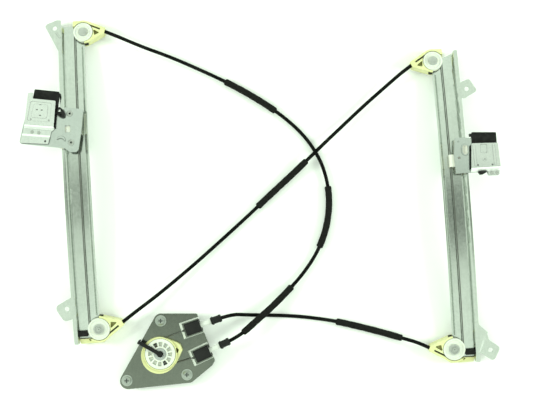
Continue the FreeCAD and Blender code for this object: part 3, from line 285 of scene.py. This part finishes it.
def steel(name, light, dark, rough=(0.12, 0.20), turn=rail_turn, scratches=0.35, slope_highlight=None,
          shade=(0.3, 0.85)):
    """Plated sheet steel: mottled tone, a faint rolling grain, scratches and painted shade in
    corners.

    Where a tone for a painted highlight is given, sloping metal takes it and mirrors less. The
    painted shade of the corners fades out over the range of openness in shade.
    """
    surface = Surface(name, metallic=1.0)
    clouds = surface.noise(cloud_grain)
    mottle = surface.noise(mottle_grain, detail=6.0, roughness=0.65)
    rolling = surface.noise(1.0, detail=3.0, vector=surface.stretched(rolling_grain, turn))
    fine = surface.noise(fine_grain, detail=2.0)
    broad = surface.math("ADD", surface.ramp(clouds, 0.36, 0.64, 0.0, 0.35),
                         surface.ramp(mottle, 0.36, 0.64, 0.0, 0.45))
    tone = surface.math("ADD", broad, surface.ramp(rolling, 0.35, 0.65, 0.0, 0.2))
    base = surface.mix(tone, dark, light)
    bright = tuple(min(1.0, part * scratch_gain) for part in light)
    for angle, start in scratch_sets:
        marks = surface.noise(1.0, detail=5.0, roughness=0.7,
                              vector=surface.stretched(scratch_grain, turn + angle))
        base = surface.mix(surface.ramp(marks, start, start + scratch_edge, 0.0, scratches),
                           base, bright)
    # Sloping faces painted lighter and made less metallic: a painted highlight for the bright
    # tent seen in bends
    if slope_highlight:
        upright = surface.upright()
        base = surface.mix(surface.ramp(upright, level, sloping), base, slope_highlight)
        surface.link(surface.ramp(upright, sloping, level, slope_metal, 1.0),
                     surface.shader.inputs["Metallic"])
    # Corners darkened by ambient occlusion towards a dark tone: painted shade
    corner_shade_tone = tuple(part * steel_corner_shade_share for part in dark)
    surface.colour(surface.mix(surface.ramp(surface.hollows(steel_corner_shade_reach), *shade),
                               corner_shade_tone, base))
    worn = surface.math("ADD", surface.spread(mottle, *rough), surface.spread(fine, -0.03, 0.03))
    surface.roughness(worn)
    height = surface.math("ADD", surface.ramp(rolling, 0.0, 1.0, 0.0, 0.5),
                          surface.ramp(mottle, 0.0, 1.0, 0.0, 0.6))
    surface.bump(height, steel_relief, edge=steel_edge)
    return surface.material


def moulded(name, light, dark, rough=0.45, glow=0.0, corner_shade_tone=None, specular=0.5):
    """Moulded plastic: flow marks, an eroded skin, painted shade in corners where its tone is
    given, and a little light inside.
    """
    surface = Surface(name, specular=specular)
    flow = surface.noise(flow_grain, detail=3.0)
    skin = surface.noise(skin_grain, detail=2.0)
    base = surface.mix(surface.spread(flow), dark, light)
    # Corners darkened by ambient occlusion towards the given tone: painted shade
    if corner_shade_tone:
        base = surface.mix(surface.ramp(surface.hollows(plastic_corner_shade_reach), 0.15, 0.85),
                           corner_shade_tone, base)
    surface.colour(base)
    surface.roughness(surface.spread(skin, rough - 0.06, rough + 0.08))
    surface.bump(skin, plastic_relief, edge=plastic_edge)
    if glow > 0:
        surface.shader.inputs["Subsurface Weight"].default_value = glow
        surface.shader.inputs["Subsurface Radius"].default_value = plastic_depth
    return surface.material


def rubber(name, light, dark):
    """Black rubber, greyed here and there by dust."""
    surface = Surface(name, specular=0.2)
    dust = surface.noise(dust_grain, detail=6.0, roughness=0.7)
    skin = surface.noise(rubber_grain, detail=2.0)
    surface.colour(surface.mix(surface.ramp(dust, 0.45, 0.75), dark, light))
    surface.roughness(surface.spread(dust, 0.54, 0.72))
    surface.bump(skin, rubber_relief)
    return surface.material


def foam(name, light, dark):
    """Open-cell foam: dull black with small pits that catch the light at their rims."""
    surface = Surface(name, roughness=0.85, specular=0.04)
    pits = surface.cells(pit_grain)
    lumps = surface.noise(lump_grain)
    both = surface.math("ADD", surface.ramp(pits, 0.0, 0.6, 0.0, 0.7),
                        surface.spread(lumps, 0.0, 0.5))
    surface.colour(surface.mix(both, dark, light))
    surface.bump(both, foam_relief)
    return surface.material


def jacket(name, light, dark):
    """Extruded jacket over a wound conduit, with faint cloudy marks."""
    surface = Surface(name, specular=0.05)
    marks = surface.noise(mark_grain, detail=6.0, roughness=0.7)
    skin = surface.noise(jacket_grain, detail=2.0)
    surface.colour(surface.mix(surface.ramp(marks, 0.4, 0.75), dark, light))
    surface.roughness(surface.spread(marks, 0.34, 0.5))
    surface.bump(skin, jacket_relief)
    return surface.material


def wire(name, light, dark):
    """Stranded steel wire, told by its uneven tone."""
    surface = Surface(name, metallic=1.0)
    strands = surface.noise(strand_grain, detail=1.0)
    surface.colour(surface.mix(strands, dark, light))
    surface.roughness(surface.ramp(strands, 0.0, 1.0, 0.3, 0.5))
    surface.bump(strands, wire_relief)
    return surface.material


def finish_materials():
    """One material for each of the record's slots, by its lighter and its darker tone."""
    return {
        "zinc_steel": steel("rail_zinc", (0.72, 0.76, 0.72), (0.60, 0.64, 0.60)),
        "carrier_steel": steel("carrier_zinc", (0.68, 0.72, 0.70), (0.58, 0.62, 0.60)),
        # The jaw's and the plate's sloping faces get a painted highlight
        "jaw_steel": steel("jaw_zinc", (0.88, 0.90, 0.88), (0.74, 0.77, 0.75),
                           slope_highlight=(0.96, 0.97, 0.96)),
        "plate_steel": steel("plate_zinc", (0.27, 0.29, 0.25), (0.21, 0.23, 0.20),
                             turn=plate_turn, scratches=0.5, slope_highlight=(0.95, 0.97, 0.94),
                             shade=(0.0, 0.5)),
        "rivet_steel": steel("rivet_zinc", (0.66, 0.68, 0.65), (0.50, 0.52, 0.49),
                             rough=(0.34, 0.5)),
        "screw_steel": steel("screw_zinc", (0.56, 0.60, 0.56), (0.38, 0.41, 0.38),
                             rough=(0.25, 0.4)),
        "cable_steel": wire("cable_wire", (0.30, 0.31, 0.28), (0.05, 0.05, 0.045)),
        "nipple_zinc": steel("nipple_cast", (0.5, 0.5, 0.5), (0.36, 0.36, 0.36)),
        # The nylon's corners get painted shade of this olive tone
        "nylon": moulded("natural_nylon", (0.74, 0.74, 0.42), (0.63, 0.62, 0.31), glow=0.2,
                         corner_shade_tone=(0.34, 0.33, 0.12)),
        "white_acetal": moulded("white_acetal", (0.74, 0.75, 0.70), (0.65, 0.66, 0.60),
                                rough=0.38, glow=0.15),
        "slider_acetal": moulded("slider_acetal", (0.80, 0.79, 0.74), (0.70, 0.69, 0.62),
                                 rough=0.42, glow=0.15),
        "tube_plastic": moulded("tube_plastic", (0.70, 0.71, 0.68), (0.60, 0.61, 0.58),
                                rough=0.4),
        "hub_plastic": moulded("hub_plastic", (0.42, 0.44, 0.43), (0.33, 0.35, 0.34),
                               rough=0.42),
        "black_plastic": moulded("black_plastic", (0.020, 0.020, 0.020), (0.008, 0.008, 0.008),
                                 rough=0.42, specular=0.2),
        "black_rubber": rubber("black_rubber", (0.026, 0.026, 0.025), (0.007, 0.007, 0.007)),
        "conduit_jacket": jacket("conduit_jacket", (0.014, 0.014, 0.013),
                                 (0.002, 0.002, 0.002)),
        "sleeve_foam": foam("sleeve_foam", (0.016, 0.016, 0.015), (0.001, 0.001, 0.001)),
    }


def new_object(name, data):
    thing = bpy.data.objects.new(name, data)
    bpy.context.scene.collection.objects.link(thing)
    return thing


def spline_curve(name, points, radius=0.0):
    """Smooth curve through the points of a route, as a round cord where a radius is given."""
    curve = bpy.data.curves.new(name, "CURVE")
    curve.dimensions = "3D"
    spline = curve.splines.new("NURBS")
    spline.points.add(len(points) - 1)
    for control, place in zip(spline.points, points):
        control.co = (*place, 1.0)
    spline.order_u = 3
    spline.use_endpoint_u = True
    curve.resolution_u = 10
    curve.bevel_depth = radius
    curve.bevel_resolution = 5
    curve.use_fill_caps = radius > 0
    return new_object(name, curve)


def centre_line(points):
    """Points read from a route's smooth line."""
    guide = spline_curve("guide", points)
    bpy.context.view_layer.update()
    mesh = bpy.data.meshes.new_from_object(guide)
    line = [vertex.co.copy() for vertex in mesh.vertices]
    bpy.data.meshes.remove(mesh)
    bpy.data.objects.remove(guide)
    return line


def distances(line):
    """Distance along the line of each of its points."""
    total = [0.0]
    for before, after in zip(line, line[1:]):
        total.append(total[-1] + (after - before).length)
    return total


def stretch(line, start, end, step):
    """Evenly spaced points on a line between two distances along it."""
    along = distances(line)
    count = max(2, round((end - start) / step))
    points = []
    i = 0
    for k in range(count + 1):
        wanted = start + (end - start) * k / count
        while i < len(line) - 2 and along[i + 1] < wanted:
            i += 1
        share = (wanted - along[i]) / (along[i + 1] - along[i])
        points.append(line[i].lerp(line[i + 1], share))
    return points


def tube_mesh(name, points, radii, sides):
    """Closed tube with a radius at each of its points."""
    mesh = bpy.data.meshes.new(name)
    shape = bmesh.new()
    rings = []
    for i, (point, radius) in enumerate(zip(points, radii)):
        before = points[max(0, i - 1)]
        after = points[min(len(points) - 1, i + 1)]
        along = (after - before).normalized()
        side = along.cross(Vector((0, 0, 1))).normalized()
        over = side.cross(along)
        ring = []
        for k in range(sides):
            angle = 2 * math.pi * k / sides
            offset = side * math.cos(angle) + over * math.sin(angle)
            ring.append(shape.verts.new(point + offset * radius))
        rings.append(ring)
    for lower, upper in zip(rings, rings[1:]):
        for k in range(sides):
            after = (k + 1) % sides
            shape.faces.new((lower[k], lower[after], upper[after], upper[k]))
    shape.faces.new(rings[0][::-1])
    shape.faces.new(rings[-1])
    bmesh.ops.recalc_face_normals(shape, faces=shape.faces)
    shape.to_mesh(mesh)
    shape.free()
    for face in mesh.polygons:
        face.use_smooth = len(face.vertices) == 4
    return new_object(name, mesh)


def make_sleeve(name, line, start, end):
    """Foam sleeve with rounded ends and a slightly uneven outside."""
    points = stretch(line, start, end, sleeve_step)
    length = end - start
    last = len(points) - 1
    radii = []
    for k in range(len(points)):
        from_end = min(k, last - k) * length / last
        inset = max(0.0, 1.0 - from_end / sleeve_end_round)
        wobble = sum(sleeve_wobble * math.sin(k * rate + phase) for rate, phase in wobble_waves)
        radii.append(sleeve_radius - sleeve_end_inset * inset ** 2 + wobble - sleeve_ease)
    return tube_mesh(name, points, radii, sleeve_sides)


def make_cords(materials):
    """The three conduits as cords, each with its foam sleeves."""
    for name, points in routes.items():
        conduit = spline_curve(name + "_cord", points, conduit_diameter / 2)
        conduit.data.materials.append(materials["conduit_jacket"])
        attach(conduit, "frame")
        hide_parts(name + "_conduit")
        line = centre_line(points)
        scale = distances(line)[-1] / cord_lengths[name]
        for number, (start, end) in enumerate(sleeve_places[name]):
            sleeve = make_sleeve("%s_foam_%d" % (name, number + 1), line,
                                 start * scale, end * scale)
            sleeve.data.materials.append(materials["sleeve_foam"])
            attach(sleeve, "frame")
            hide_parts(name + "_sleeves")


def dress_nodes(materials):
    """Puts the finish of its slot on every CAD node."""
    for name, node in frame["nodes"].items():
        for slot in node.material_slots:
            slot.material = materials[slots[name]]


def make_springs(materials):
    """Adjuster springs, each copied as an object of its own with its slot's finish. The springs
    are the parts that shorten, from their fixed end, as their tubes are pushed in.
    """
    for joint in frame["record"]["behaviour"]["joints"]:
        for entry in joint.get("deforming_nodes", []):
            name = entry["node"]
            mesh = frame["nodes"][name].data.copy()
            mesh.materials.clear()
            mesh.materials.append(materials[slots[name]])
            spring = new_object(name + "_coil", mesh)
            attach(spring, "frame")
            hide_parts(name)
            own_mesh(spring)


def make_floor():
    """White floor under the part."""
    mesh = bpy.data.meshes.new("floor")
    mesh.from_pydata([(-floor_half, -floor_half, 0), (floor_half, -floor_half, 0),
                      (floor_half, floor_half, 0), (-floor_half, floor_half, 0)],
                     [], [(0, 1, 2, 3)])
    floor = new_object("floor", mesh)
    floor.location.z = floor_height
    surface = Surface("floor_paper", roughness=floor_roughness)
    shader = surface.shader
    shader.inputs["Base Color"].default_value = (floor_tone, floor_tone, floor_tone, 1.0)
    shader.inputs["Emission Color"].default_value = (1.0, 1.0, 1.0, 1.0)
    paths = surface.add("ShaderNodeLightPath")
    seen = surface.math("MAXIMUM", paths.outputs["Is Camera Ray"], paths.outputs["Is Glossy Ray"])
    surface.link(surface.math("MULTIPLY", seen, floor_lift), shader.inputs["Emission Strength"])
    mesh.materials.append(surface.material)


def make_world():
    """A bright tent with a dimmer patch nearly overhead."""
    world = bpy.data.worlds.new("studio")
    bpy.context.scene.world = world
    world.use_nodes = True
    tree = world.node_tree
    background = tree.nodes["Background"]
    place = tree.nodes.new("ShaderNodeTexCoord")
    from_patch = tree.nodes.new("ShaderNodeMapping")
    from_patch.vector_type = "POINT"
    from_patch.inputs["Location"].default_value = patch_shift
    from_patch.inputs["Scale"].default_value = patch_scale
    tree.links.new(place.outputs["Generated"], from_patch.inputs["Vector"])
    distance = tree.nodes.new("ShaderNodeVectorMath")
    distance.operation = "LENGTH"
    tree.links.new(from_patch.outputs["Vector"], distance.inputs[0])
    ramp = tree.nodes.new("ShaderNodeValToRGB")
    tree.links.new(distance.outputs["Value"], ramp.inputs["Fac"])
    elements = ramp.color_ramp.elements
    for position, tone in tent_tones[1:-1]:
        elements.new(position)
    for element, (position, tone) in zip(elements, tent_tones):
        element.position = position
        element.color = (*(tone * part for part in light_tint), 1.0)
    tree.links.new(ramp.outputs["Color"], background.inputs["Color"])
    background.inputs["Strength"].default_value = tent_strength


def make_lamp(name, place, power):
    """Square lamp that points at the middle of the floor and shows in no reflection."""
    lamp = bpy.data.lights.new(name, "AREA")
    lamp.size = lamp_size
    lamp.energy = power
    lamp.color = light_tint
    thing = new_object(name, lamp)
    thing.location = place
    thing.rotation_euler = (-Vector(place)).to_track_quat("-Z", "Y").to_euler()
    thing.visible_glossy = False


def make_camera():
    camera = bpy.data.cameras.new("camera")
    camera.sensor_width = sensor_width
    camera.lens = focal_pixels * sensor_width / photo_width
    camera.clip_start = near_clip
    thing = new_object("camera", camera)
    back = Vector((0.0, -math.sin(camera_tilt), math.cos(camera_tilt)))
    thing.location = camera_target + back * camera_distance
    thing.rotation_euler = (camera_tilt, 0.0, 0.0)
    bpy.context.scene.camera = thing


bpy.context.scene.view_settings.view_transform = "Standard"
make_camera()
make_world()
make_floor()
for lamp_name, lamp_place, lamp_power in lamps:
    make_lamp(lamp_name, lamp_place, lamp_power)
materials = finish_materials()
dress_nodes(materials)
make_cords(materials)
make_springs(materials)
